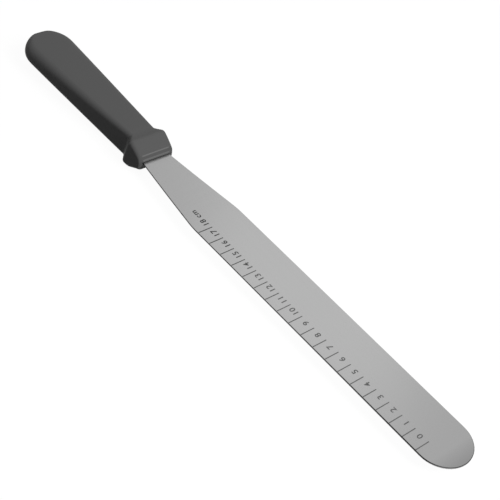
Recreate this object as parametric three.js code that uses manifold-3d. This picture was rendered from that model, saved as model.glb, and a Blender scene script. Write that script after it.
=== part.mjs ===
// Icing spatula: a long flexible steel blade whose tang is moulded into a plastic handle.
// Millimetres. X runs along the tool towards the tip, and Z is square to the blade's flat faces.
// Up to the last lines X = 0 is the front of the handle and Z = 0 the middle of the blade's thickness.

import * as THREE from "three";
import { mergeVertices } from "three/addons/utils/BufferGeometryUtils.js";
import Module from "manifold-3d";

// Blade
const BLADE_LENGTH = 264.3; // from the front of the handle to the tip
const BLADE_WIDTH = 35;
const BLADE_THICKNESS = 1;
const EDGE_BREAK = 0.15; // bevel on the stamped edges
const ROOT_WIDTH = 19.8; // where the blade leaves the handle
const TAPER_LENGTH = 57.7; // from there to the full width
const TAPER_BLEND = 4; // rounding on each side of the corner that ends the taper

// Tang, the hidden end of the same strip of steel
const TANG_WIDTH = 13;
const TANG_LENGTH = 95;
const SHOULDER_DEPTH = 4; // how far inside the handle the blade starts to narrow to the tang
const SHOULDER_LENGTH = 8;
const LOCK_HOLE_DIAMETER = 6; // holes that the handle's plastic flows through
const LOCK_HOLE_COUNT = 2; // spread evenly along the tang

// Set of the handle, which rises a little from the blade's plane
const SET_ANGLE = THREE.MathUtils.degToRad(1.49);
const BEND_LENGTH = 48.2; // stretch of blade in front of the handle that takes up the set

// Handle
const HANDLE_LENGTH = 129.5;
const BUTT_WIDTH = 35.2;
const BUTT_THICKNESS = 13.1;
const BUTT_CORNER = 6.75; // radius along the handle's long edges, at the butt
const END_LENGTH = 16.85; // half-ellipse that rounds the butt in plan
const END_EDGE = 3.55; // rounding of the butt in side view
const NECK_DISTANCE = 20.4; // behind the front of the handle, where the grip's taper ends
const NECK_WIDTH = 20.85;
const NECK_THICKNESS = 17.25;
const NECK_CORNER = 3.45;
const GRIP_SWELL = 0.43; // how far mid-grip stands outside a straight taper, in plan
const GRIP_HOLLOW = 0.36; // how far mid-grip lies inside a straight taper, in side view
const CORNER_LIMIT = 0.95; // largest corner radius, as a share of the half-size it rounds

// Guard, the flared front of the handle
const WIDEST_DISTANCE = 14.6; // behind the front of the handle, where the guard is widest
const THICKEST_DISTANCE = 10.95; // and where it is thickest
const FLARE_LENGTH = 4.3; // hollow sweep up to the guard, behind each of those places
const GUARD_WIDTH = 27.3;
const GUARD_THICKNESS = 20.4;
const GUARD_ROUND = 2.1; // rounding of the ridge round the guard
const NOSE_CHEEK = 2.8; // plastic beside the blade at the handle's front, before its edge is rounded
const NOSE_LIP = 3.7; // plastic above and below the blade there
const NOSE_CORNER = 2.85;
const NOSE_ROUND_PLAN = 1.2;
const NOSE_ROUND_SIDE = 0.45;

// Fit of the tang in the handle
const TANG_CLEARANCE = 0.3;

// Fineness of the curved surfaces
const STATION_STEP = 8; // longest stretch along the blade or the grip
const ARC_STEPS = 12; // in a quarter turn of the blade's outline
const END_STEPS = 12;
const GUARD_STEPS = 24;
const NOSE_STEPS = 4;
const FLAT_STEPS = 3; // across half of the handle's top
const CORNER_STEPS = 5;
const HOLE_SIDES = 24;

const wasm = await Module();
wasm.setup();

// Height of the tool's middle surface: flat along the blade, then a gentle bend up to the handle's set
function rise(x) {
  const slope = Math.tan(SET_ANGLE);
  if (x < 0) {
    return slope * (BEND_LENGTH / 2 - x);
  }
  const left = Math.max(BEND_LENGTH - x, 0);
  return (slope * left * left) / (2 * BEND_LENGTH);
}

// A closed loop from half of it: the half starts and ends on y = 0, and its mirror image comes back
function mirrored(half) {
  const back = half.slice(1, -1).reverse();
  return [...half, ...back.map((p) => new THREE.Vector3(p.x, -p.y, p.z))];
}

// Solid skinned over mirrored loops of equal length, with its two ends closed across from side to side
function loft(loops) {
  const count = loops[0].length;
  const triangles = [];
  const quad = (a, b, c, d) => triangles.push(a, b, c, a, c, d);
  for (let level = 1; level < loops.length; level += 1) {
    for (let i = 0; i < count; i += 1) {
      const next = (i + 1) % count;
      const low = (level - 1) * count;
      const high = level * count;
      quad(low + i, low + next, high + next, high + i);
    }
  }
  const last = (loops.length - 1) * count;
  for (let i = 0; i < count / 2; i += 1) {
    const across = (count - i) % count;
    quad(i, across, count - i - 1, i + 1);
    quad(last + i, last + i + 1, last + count - i - 1, last + across);
  }
  const geometry = new THREE.BufferGeometry().setFromPoints(loops.flat());
  geometry.setIndex(triangles);
  return geometry;
}

// A geometry as a solid that can be cut, without the flat triangles where a loop comes to a point
function solid(geometry) {
  geometry.deleteAttribute("normal");
  geometry.deleteAttribute("uv");
  const merged = mergeVertices(geometry);
  const corners = merged.index.array;
  const triVerts = [];
  for (let i = 0; i < corners.length; i += 3) {
    const triangle = [...corners.slice(i, i + 3)];
    if (new Set(triangle).size === 3) {
      triVerts.push(...triangle);
    }
  }
  return new wasm.Manifold(
    new wasm.Mesh({
      numProp: 3,
      vertProperties: merged.attributes.position.array,
      triVerts: new Uint32Array(triVerts),
    }),
  );
}

function meshOf(name, body, material) {
  const { vertProperties, triVerts } = body.getMesh();
  const geometry = new THREE.BufferGeometry();
  geometry.setAttribute("position", new THREE.BufferAttribute(vertProperties, 3));
  geometry.setIndex(new THREE.BufferAttribute(triVerts, 1));
  geometry.computeVertexNormals();
  const mesh = new THREE.Mesh(geometry, material);
  mesh.name = name;
  return mesh;
}

// Half of the steel strip's outline, from the tip to the end of the tang
function bladeOutline() {
  const half = BLADE_WIDTH / 2;
  const slope = (half - ROOT_WIDTH / 2) / TAPER_LENGTH;
  const tang = TANG_WIDTH / 2;
  const path = new THREE.Path();
  path.moveTo(BLADE_LENGTH, 0);
  path.absarc(BLADE_LENGTH - half, 0, half, 0, Math.PI / 2);
  path.lineTo(TAPER_LENGTH + TAPER_BLEND, half);
  path.quadraticCurveTo(TAPER_LENGTH, half, TAPER_LENGTH - TAPER_BLEND, half - TAPER_BLEND * slope);
  path.lineTo(-SHOULDER_DEPTH, ROOT_WIDTH / 2 - SHOULDER_DEPTH * slope);
  path.quadraticCurveTo(-SHOULDER_DEPTH, tang, -SHOULDER_DEPTH - SHOULDER_LENGTH, tang);
  path.absarc(tang - TANG_LENGTH, 0, tang, Math.PI / 2, Math.PI);
  return subdivided(path.getPoints(ARC_STEPS / 2));
}

function subdivided(points) {
  const result = [points[0]];
  for (let i = 1; i < points.length; i += 1) {
    const pieces = Math.ceil(points[i].distanceTo(points[i - 1]) / STATION_STEP);
    for (let k = 1; k <= pieces; k += 1) {
      result.push(points[i - 1].clone().lerp(points[i], k / pieces));
    }
  }
  return result;
}

// The outline moved out by a distance, square to itself: its ends stay on the middle line
function moved(outline, distance) {
  return outline.map((point, i) => {
    const before = outline[i - 1] ?? new THREE.Vector2(outline[1].x, -outline[1].y);
    const after = outline[i + 1] ?? new THREE.Vector2(before.x, -before.y);
    const into = point.clone().sub(before).normalize();
    const out = after.clone().sub(point).normalize();
    const square = new THREE.Vector2(into.y + out.y, -into.x - out.x).normalize();
    const miter = distance / square.dot(new THREE.Vector2(into.y, -into.x));
    return point.clone().addScaledVector(square, miter);
  });
}

// A strip of the given outline that follows the bend, from loops of [height, distance outside the outline]
function strip(outline, levels) {
  const loops = levels.map(([height, outside]) =>
    mirrored(moved(outline, outside).map((p) => new THREE.Vector3(p.x, p.y, rise(p.x) + height))),
  );
  return solid(loft(loops));
}

// Round pins through the tang, one at the middle of each equal share of its straight stretch
function lockPins(diameter) {
  const start = SHOULDER_DEPTH + SHOULDER_LENGTH;
  const share = (TANG_LENGTH - TANG_WIDTH / 2 - start) / LOCK_HOLE_COUNT;
  const length = 2 * (BLADE_THICKNESS + TANG_CLEARANCE);
  let pins = null;
  for (let i = 0; i < LOCK_HOLE_COUNT; i += 1) {
    const x = -start - share * (i + 1 / 2);
    const pin = new THREE.CylinderGeometry(diameter / 2, diameter / 2, length, HOLE_SIDES);
    pin.rotateX(Math.PI / 2).translate(x, 0, rise(x));
    pins = pins ? pins.add(solid(pin)) : solid(pin);
  }
  return pins;
}

function bladeSolid() {
  const face = BLADE_THICKNESS / 2;
  const levels = [
    [-face, -EDGE_BREAK],
    [EDGE_BREAK - face, 0],
    [face - EDGE_BREAK, 0],
    [face, -EDGE_BREAK],
  ];
  return strip(bladeOutline(), levels).subtract(lockPins(LOCK_HOLE_DIAMETER));
}

// Space for the tang: the strip with clearance all round, less the plastic that fills the lock holes
function tangSpace() {
  const half = BLADE_THICKNESS / 2 + TANG_CLEARANCE;
  const levels = [
    [-half, TANG_CLEARANCE],
    [half, TANG_CLEARANCE],
  ];
  return strip(bladeOutline(), levels).subtract(lockPins(LOCK_HOLE_DIAMETER - 2 * TANG_CLEARANCE));
}

// Share of full size at a distance from a rounded end
function endShare(distance, length) {
  const left = Math.max(1 - distance / length, 0);
  return Math.sqrt(1 - left * left);
}

// The smaller of two sizes, with the ridge where they cross rounded over
function softMinimum(a, b, round) {
  const overlap = Math.max(round - Math.abs(a - b), 0);
  return Math.min(a, b) - (overlap * overlap) / (4 * round);
}

// Half-size of the handle at x, in plan or in side view
function halfSize(x, view) {
  const fromEnd = x + HANDLE_LENGTH;
  const along = Math.min(fromEnd / (HANDLE_LENGTH - NECK_DISTANCE), 1);
  const taper = THREE.MathUtils.lerp(view.butt, view.neck, along) + 4 * view.swell * along * (1 - along);
  const grip = (taper / 2) * endShare(fromEnd, view.end);
  const swept = Math.max(x + view.ridge + FLARE_LENGTH, 0) / FLARE_LENGTH;
  const flared = grip + ((view.guard - view.neck) / 2) * swept * swept;
  const sloped = THREE.MathUtils.lerp(view.nose, view.guard, -x / view.ridge) / 2;
  const rounded = view.round * (1 - endShare(-x, view.round));
  return softMinimum(flared, sloped, GUARD_ROUND) - rounded;
}

const PLAN = {
  butt: BUTT_WIDTH,
  neck: NECK_WIDTH,
  swell: 2 * GRIP_SWELL,
  end: END_LENGTH,
  guard: GUARD_WIDTH,
  ridge: WIDEST_DISTANCE,
  nose: ROOT_WIDTH + 2 * (TANG_CLEARANCE + NOSE_CHEEK),
  round: NOSE_ROUND_PLAN,
};

const SIDE = {
  butt: BUTT_THICKNESS,
  neck: NECK_THICKNESS,
  swell: -2 * GRIP_HOLLOW,
  end: END_EDGE,
  guard: GUARD_THICKNESS,
  ridge: THICKEST_DISTANCE,
  nose: BLADE_THICKNESS + 2 * (TANG_CLEARANCE + NOSE_LIP),
  round: NOSE_ROUND_SIDE,
};

function cornerRadius(x) {
  const { lerp, clamp } = THREE.MathUtils;
  const along = clamp((x + HANDLE_LENGTH) / (HANDLE_LENGTH - NECK_DISTANCE), 0, 1);
  const pastNeck = clamp((x + NECK_DISTANCE) / NECK_DISTANCE, 0, 1);
  return lerp(BUTT_CORNER, NECK_CORNER, along) + lerp(0, NOSE_CORNER - NECK_CORNER, pastNeck);
}

// Cross-section of the handle: a rectangle with rounded corners
function handleSection(x) {
  const width = halfSize(x, PLAN);
  const thickness = halfSize(x, SIDE);
  const corner = Math.min(cornerRadius(x), CORNER_LIMIT * width, CORNER_LIMIT * thickness);
  const quarter = [];
  for (let i = 0; i < FLAT_STEPS; i += 1) {
    quarter.push([((width - corner) * i) / FLAT_STEPS, thickness]);
  }
  for (let i = 0; i <= CORNER_STEPS; i += 1) {
    const angle = (Math.PI / 2) * (i / CORNER_STEPS);
    quarter.push([width + corner * (Math.sin(angle) - 1), thickness + corner * (Math.cos(angle) - 1)]);
  }
  const under = quarter.map(([y, z]) => [y, -z]).reverse();
  const half = [...quarter, [width, 0], ...under];
  return mirrored(half.map(([y, z]) => new THREE.Vector3(x, y, rise(x) + z)));
}

// Places of the handle's cross-sections, front to butt, close together where the shape turns fast
function handleStations() {
  const stations = [];
  for (let i = 0; i < NOSE_STEPS; i += 1) {
    const angle = (Math.PI / 2) * (i / NOSE_STEPS);
    stations.push(NOSE_ROUND_SIDE * (Math.cos(angle) - 1));
  }
  const guard = NECK_DISTANCE - NOSE_ROUND_SIDE;
  for (let i = 0; i < GUARD_STEPS; i += 1) {
    stations.push(-NOSE_ROUND_SIDE - (guard * i) / GUARD_STEPS);
  }
  const grip = HANDLE_LENGTH - END_LENGTH - NECK_DISTANCE;
  const gripSteps = Math.ceil(grip / STATION_STEP);
  for (let i = 0; i < gripSteps; i += 1) {
    stations.push(-NECK_DISTANCE - (grip * i) / gripSteps);
  }
  for (let i = 0; i <= END_STEPS; i += 1) {
    const angle = (Math.PI / 2) * (i / END_STEPS);
    stations.push(END_LENGTH * (1 - Math.sin(angle)) - HANDLE_LENGTH);
  }
  return stations;
}

function handleSolid() {
  return solid(loft(handleStations().map(handleSection))).subtract(tangSpace());
}

const stainlessSteel = new THREE.MeshStandardMaterial({ color: 0xb4b4b6, roughness: 0.32, metalness: 1 });
const blackPlastic = new THREE.MeshStandardMaterial({ color: 0x505052, roughness: 0.5, metalness: 0 });

const tool = new THREE.Group();
tool.add(meshOf("blade", bladeSolid(), stainlessSteel));
tool.add(meshOf("handle", handleSolid(), blackPlastic));

// The part's own frame: the middle of the tool's length and width, at the level of its lowest point
const box = new THREE.Box3().setFromObject(tool);
const middle = box.getCenter(new THREE.Vector3());
tool.position.set(-middle.x, -middle.y, -box.min.z);

const spatula = new THREE.Group();
spatula.add(tool);

export default spatula;
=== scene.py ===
# %% [markdown]
# # Icing spatula
# The tool has two pieces: a thin steel blade with a centimetre scale on it, and a black plastic
# handle moulded onto the blade's hidden tang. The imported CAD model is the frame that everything
# here is fitted to. It is loaded first, and its box is kept, so that the dressed model can be
# compared with it at the end.

# %% Load the frame
import math
from collections import namedtuple

import bmesh
import bpy
import numpy as np
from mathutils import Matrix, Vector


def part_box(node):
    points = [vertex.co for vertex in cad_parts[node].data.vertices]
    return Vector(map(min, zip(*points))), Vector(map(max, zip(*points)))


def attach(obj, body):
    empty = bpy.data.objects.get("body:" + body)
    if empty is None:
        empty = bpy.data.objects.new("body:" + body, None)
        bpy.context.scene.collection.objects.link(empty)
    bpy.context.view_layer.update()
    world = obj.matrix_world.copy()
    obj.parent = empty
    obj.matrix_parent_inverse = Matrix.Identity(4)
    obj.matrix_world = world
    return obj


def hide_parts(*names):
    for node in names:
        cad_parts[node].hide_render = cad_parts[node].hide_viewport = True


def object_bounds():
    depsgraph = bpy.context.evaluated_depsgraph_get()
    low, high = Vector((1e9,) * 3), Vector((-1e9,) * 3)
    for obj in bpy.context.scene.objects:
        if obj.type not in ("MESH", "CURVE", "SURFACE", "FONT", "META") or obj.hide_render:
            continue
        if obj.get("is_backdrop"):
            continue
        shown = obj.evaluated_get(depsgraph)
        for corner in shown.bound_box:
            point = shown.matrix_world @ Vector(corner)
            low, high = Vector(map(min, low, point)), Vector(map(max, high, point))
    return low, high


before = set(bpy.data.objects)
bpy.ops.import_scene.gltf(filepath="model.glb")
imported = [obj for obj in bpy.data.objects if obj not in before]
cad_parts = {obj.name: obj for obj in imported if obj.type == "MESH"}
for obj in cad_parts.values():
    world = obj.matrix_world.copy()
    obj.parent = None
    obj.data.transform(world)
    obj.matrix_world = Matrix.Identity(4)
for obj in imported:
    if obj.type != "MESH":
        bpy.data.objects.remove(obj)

MM = 0.001  # Blender works in metres here, and sizes are written in millimetres
cad_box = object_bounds()
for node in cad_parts:
    low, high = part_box(node)
    print(node, "measures", [round(side / MM, 1) for side in high - low], "mm")

# %% [markdown]
# ## Camera
# The photo looks down on the tool from beside its tip, through a long lens, and the picture stands
# a little askew. A camera could be dragged until the outlines meet. Here its place, turn and lens
# were worked out from the scale on the blade, whose strokes are 10 mm apart, so they are simply
# written down.

# %% Place the camera
CAMERA_PLACE = (355.65, -424.77, 499.01)
CAMERA_TURN = (46.615, -12.311, 49.522)  # degrees about X, Y and Z
LENS = 91.392  # focal length in mm, for the sensor below
SENSOR_WIDTH = 36

bpy.ops.object.camera_add(
    location=[side * MM for side in CAMERA_PLACE],
    rotation=[math.radians(angle) for angle in CAMERA_TURN],
)
camera = bpy.context.object
camera.data.lens = LENS
camera.data.sensor_width = SENSOR_WIDTH
bpy.context.scene.camera = camera
bpy.context.scene.view_settings.view_transform = "Standard"
print("camera", round(camera.location.length / MM), "mm from the middle of the tool")

# %% [markdown]
# ## Nodes
# Every material below is a small tree of nodes. Adding a node takes the same three steps each
# time: make it, set it, and link it. One function does all three, so each tree reads from top to
# bottom. A second function turns the colours that screens and paint charts use, which are sRGB
# hex values, into the linear light that Blender mixes.

# %% Two helpers for materials
def add(tree, kind, inputs=None, **settings):
    """Add a node. Settings belong to the node itself, and inputs are values or sockets to link."""
    node = tree.nodes.new("ShaderNode" + kind)
    for name, value in settings.items():
        setattr(node, name, value)
    for name, value in (inputs or {}).items():
        if isinstance(value, bpy.types.NodeSocket):
            tree.links.new(value, node.inputs[name])
        else:
            node.inputs[name].default_value = value
    return node


def linear(hex_colour):
    """Linear RGBA from an sRGB hex colour."""
    shares = [int(hex_colour[i:i + 2], 16) / 255 for i in (1, 3, 5)]
    curve = [s / 12.92 if s <= 0.04045 else ((s + 0.055) / 1.055) ** 2.4 for s in shares]
    return (*curve, 1)


print("mid grey #808080 is", round(linear("#808080")[0], 3), "in linear light")

# %% [markdown]
# ## Studio
# The tool was photographed on white. A white floor under plain light comes out grey where the
# light is soft, and more light would bleach the tool. So the studio is a drum of grey paper, floor
# and wall in one sweep, with a glow that only the camera, mirrors and glass can see. It looks
# white from every side, it keeps a soft shadow, and it throws no more light on the handle than
# dark grey paper does.

# %% Bend the paper sweep
SWEEP_RADIUS = 5  # metres, as are the next two
WALL_HEIGHT = 2
SWEEP_BEND = 1.2
SWEEP_SIDES = 96
BEND_STEPS = 8

bpy.ops.object.select_all(action="DESELECT")
bpy.ops.mesh.primitive_circle_add(vertices=SWEEP_SIDES, radius=SWEEP_RADIUS, fill_type="NGON")
sweep = bpy.context.object
sweep.name = "paper_sweep"
bpy.ops.object.mode_set(mode="EDIT")
bpy.ops.mesh.select_all(action="SELECT")
bpy.ops.mesh.extrude_region_move(TRANSFORM_OT_translate={"value": (0, 0, WALL_HEIGHT)})
bpy.ops.mesh.delete(type="ONLY_FACE")
bpy.ops.mesh.select_mode(type="EDGE")
bpy.ops.mesh.select_all(action="DESELECT")
mesh = bmesh.from_edit_mesh(sweep.data)
for edge in mesh.edges:
    edge.select_set(max(point.co.z for point in edge.verts) < WALL_HEIGHT / 2)
bpy.ops.mesh.bevel(offset=SWEEP_BEND, segments=BEND_STEPS)
bpy.ops.mesh.select_all(action="SELECT")
bpy.ops.mesh.normals_make_consistent(inside=True)
bpy.ops.object.mode_set(mode="OBJECT")
bpy.ops.object.shade_smooth()
sweep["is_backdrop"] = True
print("sweep:", len(sweep.data.polygons), "faces, floor at the level of the guard's underside")

# %% Give it its paper
PAPER = "#404040"
PAPER_GLOW = 0.95  # with the light that the paper reflects, this makes white

studio_paper = bpy.data.materials.new("studio_paper")
studio_paper.use_nodes = True
tree = studio_paper.node_tree
tree.nodes.clear()
matt = add(tree, "BsdfDiffuse", {"Color": linear(PAPER)})
ray = add(tree, "LightPath")
seen = add(tree, "Math", {
    0: ray.outputs["Is Camera Ray"], 1: ray.outputs["Is Glossy Ray"],
}, operation="ADD")
seen = add(tree, "Math", {
    0: seen.outputs[0], 1: ray.outputs["Is Transmission Ray"],
}, operation="ADD", use_clamp=True)
level = add(tree, "Math", {0: seen.outputs[0], 1: PAPER_GLOW}, operation="MULTIPLY")
glow = add(tree, "Emission", {"Strength": level.outputs[0]})
both = add(tree, "AddShader", {0: matt.outputs[0], 1: glow.outputs[0]})
add(tree, "OutputMaterial", {"Surface": both.outputs[0]})
sweep.data.materials.append(studio_paper)
print("paper glow", PAPER_GLOW, "and reflectance", round(linear(PAPER)[0], 2))

# %% [markdown]
# ## Light
# A satin blade shows, blurred, whatever lies in the mirror direction from the camera, so steel and
# plastic are lit apart. An even grey room all round gives the blade its tone and leaves the
# handle's sides dark. In the photo the middle of the blade is a little brighter than its ends, so
# a weak softbox stands where the middle mirrors the camera, behind the tool. A strong one hangs
# beyond the tip and lights the handle's top, the slope of its guard and its lip. That one is kept
# out of mirrors, as a studio does with a black card, or the blade would burn out to white for
# anyone who looks from the handle's end.

# %% Fill the room with even light
ROOM_LIGHT = 0.6

room = bpy.data.worlds.new("even_grey_room")
room.use_nodes = True
background = room.node_tree.nodes["Background"]
background.inputs["Color"].default_value = linear("#FFFFFF")
background.inputs["Strength"].default_value = ROOM_LIGHT
bpy.context.scene.world = room
print("room light", ROOM_LIGHT)

# %% Hang the softboxes
# Direction in degrees round and up, distance and size in metres, power in watts, and whether
# mirrors show the lamp
Softbox = namedtuple("Softbox", "azimuth elevation distance size power mirrored")
SOFTBOXES = {
    "back_softbox": Softbox(120.75, 45.3, 1.5, 0.44, 0.12, True),
    "front_softbox": Softbox(12, 47, 1.5, 0.7, 23.6, False),
}

for name, softbox in SOFTBOXES.items():
    around, up = math.radians(softbox.azimuth), math.radians(softbox.elevation)
    reach, height = softbox.distance * math.cos(up), softbox.distance * math.sin(up)
    bpy.ops.object.light_add(
        type="AREA",
        location=(reach * math.cos(around), reach * math.sin(around), height),
        rotation=(0, math.pi / 2 - up, around),
    )
    lamp = bpy.context.object
    lamp.name = name
    lamp.data.size = softbox.size
    lamp.data.energy = softbox.power
    lamp.visible_glossy = softbox.mirrored
    print(name, [round(value, 2) for value in lamp.location], "m")

# %% [markdown]
# ## Satin steel
# The blade is stainless steel strip, ground and then brushed along its length. That gives the eye
# a soft, streaky mirror in a neutral grey. Brush marks are about 0.1 mm apart, too fine for this
# picture, so they are drawn 0.8 mm apart. They vary the roughness and tilt the surface by a hair.
# The stamped edge is dull, and painted dark as shade, but painted lighter at the very end, where it
# faces the light. A fine painted dark line, shade in the reflection, follows it along the near side
# and round the tip, and the last stretch of the face is painted darker, as a darker reflection.
# Nodes find all four by the place and the direction of the surface, so the CAD blade can stay as it
# is.

# %% Brush the steel
BRUSH_SPACING = 0.8 * MM
BRUSH_LENGTH = 60 * MM
BRUSH_DEPTH = 0.005 * MM
BRUSH_STRENGTH = 0.15
BRUSH_ROUGHNESS = (0.17, 0.23)
WIPED_SIZE = 45 * MM  # faint clouds that wiping leaves
WIPED_ROUGHNESS = (-0.02, 0.02)  # added to that of the brush marks

satin_steel = bpy.data.materials.new("satin_stainless_steel")
satin_steel.use_nodes = True
tree = satin_steel.node_tree
shader = tree.nodes["Principled BSDF"]
shader.inputs["Metallic"].default_value = 1
place = add(tree, "TexCoord")
along = add(tree, "Mapping", {
    "Vector": place.outputs["Object"],
    "Scale": (1 / BRUSH_LENGTH, 1 / BRUSH_SPACING, 1 / BRUSH_SPACING),
})
brush = add(tree, "TexNoise", {
    "Vector": along.outputs[0], "Scale": 1, "Detail": 3, "Roughness": 0.6,
})
clouds = add(tree, "TexNoise", {
    "Vector": place.outputs["Object"], "Scale": 1 / WIPED_SIZE, "Detail": 2,
})
streaks = add(tree, "MapRange", {
    "Value": brush.outputs[0], "To Min": BRUSH_ROUGHNESS[0], "To Max": BRUSH_ROUGHNESS[1],
})
wiped = add(tree, "MapRange", {
    "Value": clouds.outputs[0], "To Min": WIPED_ROUGHNESS[0], "To Max": WIPED_ROUGHNESS[1],
})
rough = add(tree, "Math", {0: streaks.outputs[0], 1: wiped.outputs[0]}, operation="ADD")
relief = add(tree, "Bump", {
    "Height": brush.outputs[0], "Strength": BRUSH_STRENGTH, "Distance": BRUSH_DEPTH,
})
tree.links.new(relief.outputs[0], shader.inputs["Normal"])
print("brush marks drawn", BRUSH_SPACING / MM, "mm apart")

# %% Find the painted shade along the rim, and the tip
# A pair gives where a change begins and where it is complete
TIP_RADIUS = 17.5 * MM
RIM = (TIP_RADIUS - 0.42 * MM, TIP_RADIUS - 0.28 * MM)  # just inside the outline
NEAR_RIM = (60 * MM, 170 * MM)  # the near side's line grows darker between these places
TIP_RIM_LENGTH = 8 * MM  # and the tip's along this stretch
# a painted darker reflection covers the face along the tip's last stretch
TIP_SHADE = 11.5 * MM  # the face grows darker along this last stretch

blade_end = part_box("blade")[1].x
tip_centre = blade_end - TIP_RADIUS
spot = add(tree, "SeparateXYZ", {0: place.outputs["Object"]})
past_tip = add(tree, "Math", {0: spot.outputs["X"], 1: tip_centre}, operation="SUBTRACT")
past_tip = add(tree, "Math", {0: past_tip.outputs[0], 1: 0}, operation="MAXIMUM")
outward = add(tree, "CombineXYZ", {"X": past_tip.outputs[0], "Y": spot.outputs["Y"]})
outward = add(tree, "VectorMath", {0: outward.outputs[0]}, operation="LENGTH")
# a fine line of painted shade just inside the outline, on the near side and round the tip
painted_rim_shade = add(tree, "MapRange", {
    "Value": outward.outputs["Value"], "From Min": RIM[0], "From Max": RIM[1],
})
near = add(tree, "Math", {0: spot.outputs["Y"], 1: 0}, operation="LESS_THAN")
near_fade = add(tree, "MapRange", {
    "Value": spot.outputs["X"], "From Min": NEAR_RIM[0], "From Max": NEAR_RIM[1],
})
near = add(tree, "Math", {0: near.outputs[0], 1: near_fade.outputs[0]}, operation="MULTIPLY")
tip_fade = add(tree, "MapRange", {
    "Value": spot.outputs["X"], "From Min": tip_centre, "From Max": tip_centre + TIP_RIM_LENGTH,
})
shown = add(tree, "Math", {0: near.outputs[0], 1: tip_fade.outputs[0]}, operation="MAXIMUM")
painted_rim_shade = add(tree, "Math", {0: painted_rim_shade.outputs[0], 1: shown.outputs[0]}, operation="MULTIPLY")
# where the painted darker reflection covers the tip's last stretch
tip = add(tree, "MapRange", {
    "Value": spot.outputs["X"], "From Min": blade_end - TIP_SHADE, "From Max": blade_end,
})
print("the tip's half-circle starts at", round(tip_centre / MM, 1), "mm")

# %% Find the edge, with its painted shade, and its end, with painted light
EDGE_UPRIGHT = (0.95, 0.6)  # how squarely the surface faces up or down
SIDE_UPRIGHT = (0.5, 0.3)
END_AHEAD = (0.3, 0.8)  # how squarely it faces ahead

facing = add(tree, "SeparateXYZ", {0: place.outputs["Normal"]})
upright = add(tree, "Math", {0: facing.outputs["Z"]}, operation="ABSOLUTE")
# the edge is dull, and its dark colour is painted shade
edge = add(tree, "MapRange", {
    "Value": upright.outputs[0], "From Min": EDGE_UPRIGHT[0], "From Max": EDGE_UPRIGHT[1],
})
side = add(tree, "MapRange", {
    "Value": upright.outputs[0], "From Min": SIDE_UPRIGHT[0], "From Max": SIDE_UPRIGHT[1],
})
ahead = add(tree, "MapRange", {
    "Value": facing.outputs["X"], "From Min": END_AHEAD[0], "From Max": END_AHEAD[1],
})
# painted light on the end, where the edge faces ahead towards the front softbox
end = add(tree, "Math", {0: side.outputs[0], 1: ahead.outputs[0]}, operation="MULTIPLY")
print("edge, where the surface faces up by less than", EDGE_UPRIGHT[0])

# %% Colour the steel
STEEL_FACE = "#CCCCCC"
# painted darker reflection on the tip's last stretch of the face
TIP_PAINTED_REFLECTION = "#B4B4B4"
# painted shade: a fine dark line just inside the outline
RIM_PAINTED_SHADE = "#303030"
# painted shade on the stamped edge
EDGE_PAINTED_SHADE = "#3C3C3C"
# painted light on the edge where it faces ahead, towards the front softbox
END_PAINTED_LIGHT = "#A8A8A8"
EDGE_ROUGHNESS = 0.5
FIRST_COLOUR, SECOND_COLOUR, MIXED_COLOUR = 6, 7, 2  # sockets of a Mix node for colours
FIRST_VALUE, SECOND_VALUE = 2, 3  # and of one for plain values

colour = add(tree, "Mix", {
    0: tip.outputs[0], FIRST_COLOUR: linear(STEEL_FACE), SECOND_COLOUR: linear(TIP_PAINTED_REFLECTION),
}, data_type="RGBA")
# painted shade on the rim and the edge, and painted light on the end
for share, tone in ((painted_rim_shade, RIM_PAINTED_SHADE), (edge, EDGE_PAINTED_SHADE), (end, END_PAINTED_LIGHT)):
    colour = add(tree, "Mix", {
        0: share.outputs[0],
        FIRST_COLOUR: colour.outputs[MIXED_COLOUR], SECOND_COLOUR: linear(tone),
    }, data_type="RGBA")
dull = add(tree, "Mix", {
    0: edge.outputs[0], FIRST_VALUE: rough.outputs[0], SECOND_VALUE: EDGE_ROUGHNESS,
})
tree.links.new(colour.outputs[MIXED_COLOUR], shader.inputs["Base Color"])
tree.links.new(dull.outputs[0], shader.inputs["Roughness"])
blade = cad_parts["blade"]
blade.data.materials.clear()
blade.data.materials.append(satin_steel)
print("steel on", blade.name, "with", len(tree.nodes), "nodes")

# %% [markdown]
# ## Black plastic
# The handle is polypropylene, moulded in a tool whose walls were spark-eroded to a fine matt grain.
# To the eye it is a very dark grey with a broad, soft sheen and no sharp reflection. The grain is
# about 0.2 mm wide and is drawn at 0.5 mm. Slow changes in roughness keep the large plain top from
# looking like a flat colour. Along the two edges of the lip, painted highlights make lighter lines,
# which nodes draw by their distance behind the handle's front.

# %% Mould the plastic
PLASTIC_IOR = 1.49
PLASTIC_GLOSS = 0.03  # the grain scatters nearly all of the reflection
GRAIN = 0.5 * MM
GRAIN_DEPTH = 0.03 * MM
GRAIN_STRENGTH = 0.25
PATCH_SIZE = 14 * MM
PATCH_ROUGHNESS = (0.4, 0.5)

moulded_black = bpy.data.materials.new("moulded_black_polypropylene")
moulded_black.use_nodes = True
tree = moulded_black.node_tree
shader = tree.nodes["Principled BSDF"]
shader.inputs["IOR"].default_value = PLASTIC_IOR
shader.inputs["Specular IOR Level"].default_value = PLASTIC_GLOSS
place = add(tree, "TexCoord")
grain = add(tree, "TexNoise", {
    "Vector": place.outputs["Object"], "Scale": 1 / GRAIN, "Detail": 2,
})
patches = add(tree, "TexNoise", {
    "Vector": place.outputs["Object"], "Scale": 1 / PATCH_SIZE, "Detail": 3,
})
rough = add(tree, "MapRange", {
    "Value": patches.outputs[0], "To Min": PATCH_ROUGHNESS[0], "To Max": PATCH_ROUGHNESS[1],
})
relief = add(tree, "Bump", {
    "Height": grain.outputs[0], "Strength": GRAIN_STRENGTH, "Distance": GRAIN_DEPTH,
})
tree.links.new(rough.outputs[0], shader.inputs["Roughness"])
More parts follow.
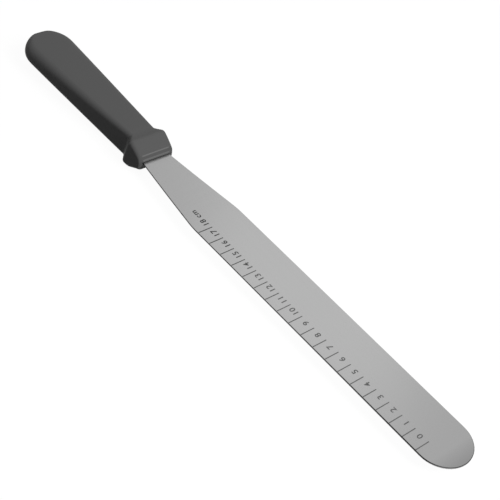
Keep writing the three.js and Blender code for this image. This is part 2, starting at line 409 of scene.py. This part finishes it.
tree.links.new(relief.outputs[0], shader.inputs["Normal"])
print("grain drawn", GRAIN / MM, "mm wide")

# %% Paint highlights on the lip
PLASTIC = "#505050"
# painted highlight along the lip's two edges
LIP_PAINTED_HIGHLIGHT = "#646464"
LIP_LINES = (1.5 * MM, 0.1 * MM)  # distances behind the handle's front
LINE_FADE = (0.35 * MM, 0.1 * MM)  # a line begins this far from its middle, and is full here
LIP_END = (10.5 * MM, 9.8 * MM)  # and the same across the tool

handle_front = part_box("handle")[1].x
spot = add(tree, "SeparateXYZ", {0: place.outputs["Object"]})
lines = []
for behind in LIP_LINES:
    away = add(tree, "Math", {0: spot.outputs["X"], 1: handle_front - behind}, operation="SUBTRACT")
    away = add(tree, "Math", {0: away.outputs[0]}, operation="ABSOLUTE")
    lines.append(add(tree, "MapRange", {
        "Value": away.outputs[0], "From Min": LINE_FADE[0], "From Max": LINE_FADE[1],
    }))
# painted highlight lines along the lip's edges
painted_lip_highlight = add(tree, "Math", {
    0: lines[0].outputs[0], 1: lines[1].outputs[0],
}, operation="MAXIMUM")
across = add(tree, "Math", {0: spot.outputs["Y"]}, operation="ABSOLUTE")
middle = add(tree, "MapRange", {
    "Value": across.outputs[0], "From Min": LIP_END[0], "From Max": LIP_END[1],
})
painted_lip_highlight = add(tree, "Math", {0: painted_lip_highlight.outputs[0], 1: middle.outputs[0]}, operation="MULTIPLY")
colour = add(tree, "Mix", {
    0: painted_lip_highlight.outputs[0], FIRST_COLOUR: linear(PLASTIC), SECOND_COLOUR: linear(LIP_PAINTED_HIGHLIGHT),
}, data_type="RGBA")
tree.links.new(colour.outputs[MIXED_COLOUR], shader.inputs["Base Color"])
print("plastic", PLASTIC, "with", len(tree.nodes), "nodes")

# %% [markdown]
# ## Handle profiles
# The real handle is one moulding: a flat, round butt, a grip that grows narrower and thicker, a
# neck, a flared guard and a nose that closes round the blade. Two outlines hold its sizes, one
# seen from above and one from the side. They could be traced point by point, but then no size
# could be changed by itself. Here each outline is a formula of a few sizes: the grip runs from
# butt to neck, a flare rises from it to the guard, a slope falls from there to the nose, and the
# ridge where flare and slope meet is rounded.

# %% The handle's sizes
# Places are distances behind the handle's front, in mm as all the sizes are
Profile = namedtuple("Profile", (
    "butt", "neck", "guard", "nose",  # full sizes there
    "end",  # length of the butt's round end
    "swell",  # by which the grip is fuller than a straight taper
    "guard_at", "nose_at",  # places of the ridge and of the slope's foot
    "flare", "flare_power",  # length of the flare, and how sharply it turns up
    "bulge",  # by which the slope stands out from a straight line
    "ridge",  # flare and slope blend where they lie closer together than this
))
FROM_ABOVE = Profile(
    butt=35.6, neck=20, guard=27.6, nose=26.1, end=16.3, swell=0.9, guard_at=13.4, nose_at=0,
    flare=4.4, flare_power=1.25, bulge=0, ridge=1.2,
)
FROM_THE_SIDE = Profile(
    butt=13, neck=18.5, guard=20, nose=9.4, end=3.56, swell=-0.72, guard_at=10.7, nose_at=1.5,
    flare=6, flare_power=2, bulge=0.35, ridge=1,
)
NECK_AT = 20.41

handle_length = (handle_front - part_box("handle")[0].x) / MM
print("handle", round(handle_length, 1), "mm long, with its neck", NECK_AT, "mm behind the front")

# %% Curves that the profiles are made of
def arc(distance, length):
    """Share of its full height that a quarter-ellipse has reached at a distance from its end."""
    return math.sqrt(1 - max(1 - distance / length, 0) ** 2)


def hump(share):
    """A parabola that rises from 0 to 1 in the middle of a stretch and falls to 0 again."""
    return 4 * share * (1 - share)


def soft_minimum(first, second, reach):
    """The smaller of two sizes, rounded off where they lie closer together than the reach."""
    shared = max(reach - abs(first - second), 0)
    return min(first, second) - shared ** 2 / (4 * reach)


print("halfway, an arc has reached", round(arc(0.5, 1), 3), "and a hump", hump(0.5))

# %% Half the handle's size at any place
def along_grip(behind):
    """Share of the way from butt to neck that lies behind a place."""
    return min((handle_length - behind) / (handle_length - NECK_AT), 1)


def half_size(profile, behind):
    """Half the size that a profile has at a place."""
    along = along_grip(behind)
    taper = profile.butt + (profile.neck - profile.butt) * along
    grip = (taper + profile.swell * hump(along)) / 2 * arc(handle_length - behind, profile.end)
    risen = max(profile.guard_at + profile.flare - behind, 0) / profile.flare
    flared = grip + (profile.guard - profile.neck) / 2 * risen ** profile.flare_power
    climbed = (behind - profile.nose_at) / (profile.guard_at - profile.nose_at)
    sloped = (profile.nose + (profile.guard - profile.nose) * climbed) / 2
    sloped += profile.bulge * hump(min(max(climbed, 0), 1))
    return soft_minimum(flared, sloped, profile.ridge)


for name, profile in (("wide", FROM_ABOVE), ("thick", FROM_THE_SIDE)):
    print("guard", round(2 * half_size(profile, profile.guard_at), 2), "mm", name)

# %% Corners and lean at any place
BUTT_CORNER = 6.7  # radius of a section's corners, as are the next two
NECK_CORNER = 3.2
NOSE_CORNER = 2.7
# Lean in degrees by the place of a section's upper edge: the lip leans back, the guard forward
LEANS = (
    (1.8, -7.6), (2.2, -6), (3.2, -2.5), (4.4, 0),
    (8.4, 0), (9.6, 1.5), (11.6, 8), (17, 8), (19, 5), (24, 1.5), (40, 0),
)


def corner_radius(behind):
    """Radius of a section's corners at a place."""
    grip = BUTT_CORNER + (NECK_CORNER - BUTT_CORNER) * along_grip(behind)
    past_neck = max((NECK_AT - behind) / NECK_AT, 0)
    return grip + (NOSE_CORNER - NECK_CORNER) * past_neck


def lean_at(upper_edge):
    """Lean of the section whose upper edge lies at a place."""
    return np.interp(upper_edge, *zip(*LEANS))


print("the guard leans", max(lean for place, lean in LEANS), "degrees")

# %% [markdown]
# ## Handle
# The handle could be sculpted, or made from the CAD triangles, but those are flat facets. Here it
# grows like a boat's hull, from cross-sections. Each one is a rectangle with round corners, and
# the next is an extrusion whose four corners are moved and scaled. The chain runs from the butt to
# the nose, turns in over the front face and ends inside the slot for the blade. Sections stand
# close together where the outline turns quickly, and far apart along the grip.

# %% The cross-sections
# Width and thickness are halved, so that they count from the section's middle
Section = namedtuple("Section", "behind width thickness radius lean")
BUTT_ANGLES = (86, 79, 71, 63, 55, 47, 38, 28, 18, 8)  # degrees round the butt's end
GRIP_PLACES = (112.6, 107, 99, 88, 76, 64, 52, 42, 34, 28, 24)
FLARE_PLACES = (20.6, 18.8, 17.4, 16.8, 16.2, 15.6, 15, 14.3, 13.6, 13, 12.5, 12, 11.5)
SLOPE_PLACES = (11, 10.5, 10, 9.3, 8.4, 7.5, 5.6, 3.8, 2.4, 1.8)
LIP = (  # place of the upper edge, half the thickness and lean
    (1.5, 4.62, -9), (1.3, 4.35, -8.4), (0.9, 3.6, -7), (0.5, 2.82, -5), (0.25, 2.33, -3),
    (0.1, 2.05, -1.4), (0.02, 1.85, 0),
)
FRONT_AND_SLOT = (  # place, half the width, half the thickness and corner radius
    (0, 11.9, 1.55, 1.4), (0, 11, 1.05, 0.9), (0, 10.3, 0.66, 0.5),
    (0.3, 10.05, 0.56, 0.4), (5, 9.9, 0.56, 0.4),
)
FRONT_ROUNDING = 1  # of the nose's corners, seen from above
ROUNDEST = 0.95  # of half a section's size, its corner radius takes up this share at most


def leaning_section(upper_edge, thickness, lean):
    """The section that has its upper edge at a place, with half its thickness and its lean."""
    behind = upper_edge + thickness * math.sin(math.radians(lean))
    width = half_size(FROM_ABOVE, behind) - FRONT_ROUNDING * (1 - arc(behind, FRONT_ROUNDING))
    radius = min(corner_radius(behind), ROUNDEST * width, ROUNDEST * thickness)
    return Section(behind, width, thickness, radius, lean)


places = [
    handle_length - FROM_ABOVE.end * (1 - math.sin(math.radians(angle))) for angle in BUTT_ANGLES
]
sections = [
    leaning_section(place, half_size(FROM_THE_SIDE, place), lean_at(place))
    for place in (*places, *GRIP_PLACES, *FLARE_PLACES, *SLOPE_PLACES)
]
sections += [leaning_section(*row) for row in LIP]
sections += [Section(*row, lean=0) for row in FRONT_AND_SLOT]
widest = max(section.width for section in sections)
print(len(sections), "sections, the widest", round(2 * widest, 2), "mm")

# %% Where the sections stand
SET_SLOPE = math.tan(math.radians(1.49))  # the handle rises a little from the blade's plane
BEND_LENGTH = 48.2  # stretch of blade in front of the handle that takes up the set
BLADE_THICKNESS = 1

blade_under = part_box("blade")[0].z
blade_middle = blade_under / MM + BLADE_THICKNESS / 2


def middle_of(section):
    """Middle of a section, in metres: its place along the tool and its height."""
    height = blade_middle + SET_SLOPE * (BEND_LENGTH / 2 + section.behind)
    return handle_front - section.behind * MM, height * MM


print("the butt's middle is", round(middle_of(sections[0])[1] / MM, 2), "mm above the floor")

# %% The first section, at the butt
CORNER_STEPS = 6

bpy.ops.object.select_all(action="DESELECT")
butt = sections[0]
x, z = middle_of(butt)
bpy.ops.mesh.primitive_plane_add(size=2, location=(0, 0, 0), rotation=(0, math.pi / 2, 0))
handle = bpy.context.object
handle.name = "handle_skin"
bpy.ops.object.transform_apply()
bpy.ops.object.mode_set(mode="EDIT")
bpy.ops.mesh.select_mode(type="VERT")
bpy.ops.mesh.select_all(action="SELECT")
bpy.ops.transform.resize(
    value=(1, butt.width * MM, butt.thickness * MM), center_override=(0, 0, 0),
)
bpy.ops.transform.translate(value=(x, 0, z))
bpy.ops.mesh.bevel(
    offset=butt.radius * MM, segments=CORNER_STEPS, affect="VERTICES", clamp_overlap=False,
)
mesh = bmesh.from_edit_mesh(handle.data)
print("first section:", len(mesh.verts), "points,", len(mesh.faces), "face")

# %% How one section becomes the next
def select_only(points):
    """Select these points of the handle, with the edges and faces that they span."""
    bpy.ops.mesh.select_all(action="DESELECT")
    mesh = bmesh.from_edit_mesh(handle.data)
    mesh.verts.ensure_lookup_table()
    for index in points:
        mesh.verts[index].select_set(True)
    mesh.select_flush(True)


def move_corner(points, across, up, old, new):
    """Carry one round corner of the newest section from its old size and place to its new one."""
    x, z = middle_of(new)
    mesh = bmesh.from_edit_mesh(handle.data)
    mesh.verts.ensure_lookup_table()
    for index in points:
        point = mesh.verts[index]
        point.select_set(across * point.co.y > 0 and up * (point.co.z - z) > 0)
    old_y, old_z = (old.width - old.radius) * MM, (old.thickness - old.radius) * MM
    new_y, new_z = (new.width - new.radius) * MM, (new.thickness - new.radius) * MM
    scale = new.radius / old.radius
    bpy.ops.transform.resize(
        value=(1, scale, scale), center_override=(x, across * old_y, z + up * old_z),
    )
    bpy.ops.transform.translate(value=(0, across * (new_y - old_y), up * (new_z - old_z)))


print("each section has", 4 * (CORNER_STEPS + 1), "points in 4 corners")

# %% Grow the handle, section by section
rings = {}
for old, new in zip(sections, sections[1:]):
    (old_x, old_z), (new_x, new_z) = middle_of(old), middle_of(new)
    bpy.ops.mesh.extrude_region_move(
        TRANSFORM_OT_translate={"value": (new_x - old_x, 0, new_z - old_z)},
    )
    mesh = bmesh.from_edit_mesh(handle.data)
    rings[new] = [point.index for point in mesh.verts if point.select]
    for across in (-1, 1):
        for up in (-1, 1):
            move_corner(rings[new], across, up, old, new)
    select_only(rings[new])
mesh = bmesh.from_edit_mesh(handle.data)
print("handle cage:", len(mesh.verts), "points,", len(mesh.faces), "faces")

# %% [markdown]
# ## Lean and smoothness
# The guard doesn't stand square to the grip: its upper edge lies further forward than its lower
# one, and the lip below the slope leans back. Sections could be extruded at a slant, but then
# every size would have to be worked out anew. Here they grow upright, and each is turned
# afterwards about its own middle, like tilted slices of a loaf. Subdivision then rounds the whole.

# %% Lean the guard
GUARD_LENGTH = 16 * MM

for section, points in rings.items():
    if section.lean:
        x, z = middle_of(section)
        select_only(points)
        # with no window, rotate turns the other way, so the angle is negative
        bpy.ops.transform.rotate(
            value=-math.radians(section.lean), orient_axis="Y", center_override=(x, 0, z),
        )
mesh = bmesh.from_edit_mesh(handle.data)
guard = [point.co for point in mesh.verts if point.co.x > handle_front - GUARD_LENGTH]
crest = max(guard, key=lambda place: place.z)
print("crest at", round((handle_front - crest.x) / MM, 2), "mm behind the front")

# %% Smooth it
SMOOTH_LEVELS = 2
MERGE_DISTANCE = 0.001 * MM

bpy.ops.mesh.select_all(action="SELECT")
bpy.ops.mesh.remove_doubles(threshold=MERGE_DISTANCE)
bpy.ops.mesh.normals_make_consistent(inside=False)
bpy.ops.object.mode_set(mode="OBJECT")
smooth = handle.modifiers.new("smooth", "SUBSURF")
smooth.levels = SMOOTH_LEVELS
smooth.render_levels = SMOOTH_LEVELS
bpy.ops.object.modifier_apply(modifier="smooth")
bpy.ops.object.shade_smooth()
handle.data.materials.append(moulded_black)
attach(handle, "root")
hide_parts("handle")
sizes = [round(side / MM, 2) for side in handle.dimensions]
print("handle:", len(handle.data.polygons), "faces,", sizes, "mm")

# %% [markdown]
# ## Scale marks
# The scale is etched into the steel: a dark, dull oxide that lies in the surface and has no height
# to speak of. It could be drawn by nodes, but numerals are hard to draw with nodes, and marks with
# real edges stay crisp at any size. So they are thin pieces of their own, let into the steel and
# standing only 0.02 mm proud. Use wears the marks that lie further from the handle, so they are a
# little paler than the rest.

# %% Make the etching
ETCH_FRESH = "#383838"
ETCH_DARK = "#505050"
ETCH_PALE = "#686868"
ETCH_GRAIN = 0.6 * MM
ETCH_METALLIC = 0.3
ETCH_ROUGHNESS = (0.5, 0.7)
WORN_FROM = 45 * MM  # marks beyond this place along the tool are worn
FRESH_FROM = 5 * MM  # and those nearer the handle than this are fresh

etched_oxide = bpy.data.materials.new("etched_grey_oxide")
etched_oxide.use_nodes = True
tree = etched_oxide.node_tree
shader = tree.nodes["Principled BSDF"]
shader.inputs["Metallic"].default_value = ETCH_METALLIC
place = add(tree, "TexCoord")
grain = add(tree, "TexNoise", {
    "Vector": place.outputs["Object"], "Scale": 1 / ETCH_GRAIN, "Detail": 2,
})
worn = add(tree, "Mix", {
    0: grain.outputs[0], FIRST_COLOUR: linear(ETCH_DARK), SECOND_COLOUR: linear(ETCH_PALE),
}, data_type="RGBA")
spot = add(tree, "SeparateXYZ", {0: place.outputs["Object"]})
fresh = add(tree, "MapRange", {
    "Value": spot.outputs["X"], "From Min": WORN_FROM, "From Max": FRESH_FROM,
})
colour = add(tree, "Mix", {
    0: fresh.outputs[0],
    FIRST_COLOUR: worn.outputs[MIXED_COLOUR], SECOND_COLOUR: linear(ETCH_FRESH),
}, data_type="RGBA")
rough = add(tree, "MapRange", {
    "Value": grain.outputs[0], "To Min": ETCH_ROUGHNESS[0], "To Max": ETCH_ROUGHNESS[1],
})
tree.links.new(colour.outputs[MIXED_COLOUR], shader.inputs["Base Color"])
tree.links.new(rough.outputs[0], shader.inputs["Roughness"])
print("etching with", len(tree.nodes), "nodes")

# %% Model one stroke
FIRST_STROKE = 176.12  # place of stroke 0 along the tool, in mm as are the sizes below
STROKE_WIDTH = 0.58
STROKE_OUTER = -17.2  # where it ends, across the blade
STROKE_INNER = -6.9
STROKE_LENGTH = STROKE_INNER - STROKE_OUTER
STROKE_CORNER_STEPS = 3
MARK_HEIGHT = 0.02  # above the steel, and as much below

steel_face = blade_under + BLADE_THICKNESS * MM
bpy.ops.object.select_all(action="DESELECT")
bpy.ops.mesh.primitive_cube_add(size=1)
stroke = bpy.context.object
stroke.name = "scale_strokes"
bpy.ops.object.mode_set(mode="EDIT")
bpy.ops.transform.resize(
    value=(STROKE_WIDTH * MM, STROKE_LENGTH * MM, 2 * MARK_HEIGHT * MM),
    center_override=(0, 0, 0),
)
bpy.ops.transform.translate(
    value=(FIRST_STROKE * MM, (STROKE_OUTER + STROKE_LENGTH / 2) * MM, steel_face),
)
bpy.ops.mesh.select_mode(type="EDGE")
bpy.ops.mesh.select_all(action="DESELECT")
mesh = bmesh.from_edit_mesh(stroke.data)
for corner in mesh.edges:
    bottom, top = sorted(point.co.z for point in corner.verts)
    corner.select_set(top - bottom > MARK_HEIGHT * MM)
bpy.ops.mesh.bevel(offset=STROKE_WIDTH * MM / 4, segments=STROKE_CORNER_STEPS)
bpy.ops.object.mode_set(mode="OBJECT")
stroke.data.materials.append(etched_oxide)
print("stroke", STROKE_WIDTH, "by", round(STROKE_LENGTH, 1), "mm")

# %% Copy it along the blade
STROKE_SPACING = 10
STROKE_COUNT = 19

strokes = [stroke]
while len(strokes) < STROKE_COUNT:
    bpy.ops.object.duplicate()
    bpy.ops.transform.translate(value=(-STROKE_SPACING * MM, 0, 0))
    strokes.append(bpy.context.object)
print(len(strokes), "strokes,", STROKE_SPACING, "mm apart")

# %% Join the strokes into one piece
JOIN_DISTANCE = 0.0005 * MM


def join(parts):
    """Join parts into the first, with its place in its mesh, and close and turn out the shells."""
    bpy.ops.object.select_all(action="DESELECT")
    for part in parts:
        part.select_set(True)
    bpy.context.view_layer.objects.active = parts[0]
    bpy.ops.object.join()
    bpy.ops.object.transform_apply()
    bpy.ops.object.mode_set(mode="EDIT")
    bpy.ops.mesh.select_all(action="SELECT")
    bpy.ops.mesh.remove_doubles(threshold=JOIN_DISTANCE)
    bpy.ops.mesh.normals_make_consistent(inside=False)
    bpy.ops.object.mode_set(mode="OBJECT")
    print(parts[0].name, "has", len(parts[0].data.polygons), "faces")


join(strokes)
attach(stroke, "root")

# %% [markdown]
# ## Numbers
# The numbers stand between the strokes, each on the handle's side of its own, and are upright for
# someone who holds the tip. They are plain figures, so Blender's own font will do, fattened a
# little. A text object is a flat curve: it is turned into a mesh first, and only then is its place
# written into the mesh, because a flat curve would lose it.

# %% Set the numbers
NUMBER_SIZE = 5.3  # type size
NUMBER_BOLD = 0.1
NUMBER_SPACING = 1.12  # between two figures, as a share of the font's own
NUMBER_CURVE_STEPS = 4
NUMBER_BASE = -6.9  # the line that they stand on, across the blade
UNIT_PLACE = -16.9  # along the tool

marks = {str(n): FIRST_STROKE - (n + 0.5) * STROKE_SPACING for n in range(STROKE_COUNT)}
marks["cm"] = UNIT_PLACE
numbers = []
for text, along in marks.items():
    bpy.ops.object.select_all(action="DESELECT")
    bpy.ops.object.text_add(
        location=(along * MM, NUMBER_BASE * MM, steel_face), rotation=(0, 0, math.pi),
    )
    label = bpy.context.object.data
    label.body = text
    label.align_x = "CENTER"
    label.size = NUMBER_SIZE * MM
    label.offset = NUMBER_BOLD * MM
    label.space_character = NUMBER_SPACING
    label.extrude = MARK_HEIGHT * MM
    label.resolution_u = NUMBER_CURVE_STEPS
    bpy.ops.object.convert(target="MESH")
    bpy.ops.object.transform_apply()
    bpy.context.object.data.materials.append(etched_oxide)
    numbers.append(bpy.context.object)
numbers[0].name = "scale_numbers"
print("figure 0 measures", [round(side / MM, 2) for side in numbers[0].dimensions], "mm")
join(numbers)
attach(numbers[0], "root")

# %% Write both boxes and finish
visual_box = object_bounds()
for name, cad, visual in zip(("low", "high"), cad_box, visual_box):
    beyond = [round((v - c) / MM, 2) for v, c in zip(visual, cad)]
    print(name, "corner, visual minus CAD:", beyond, "mm")
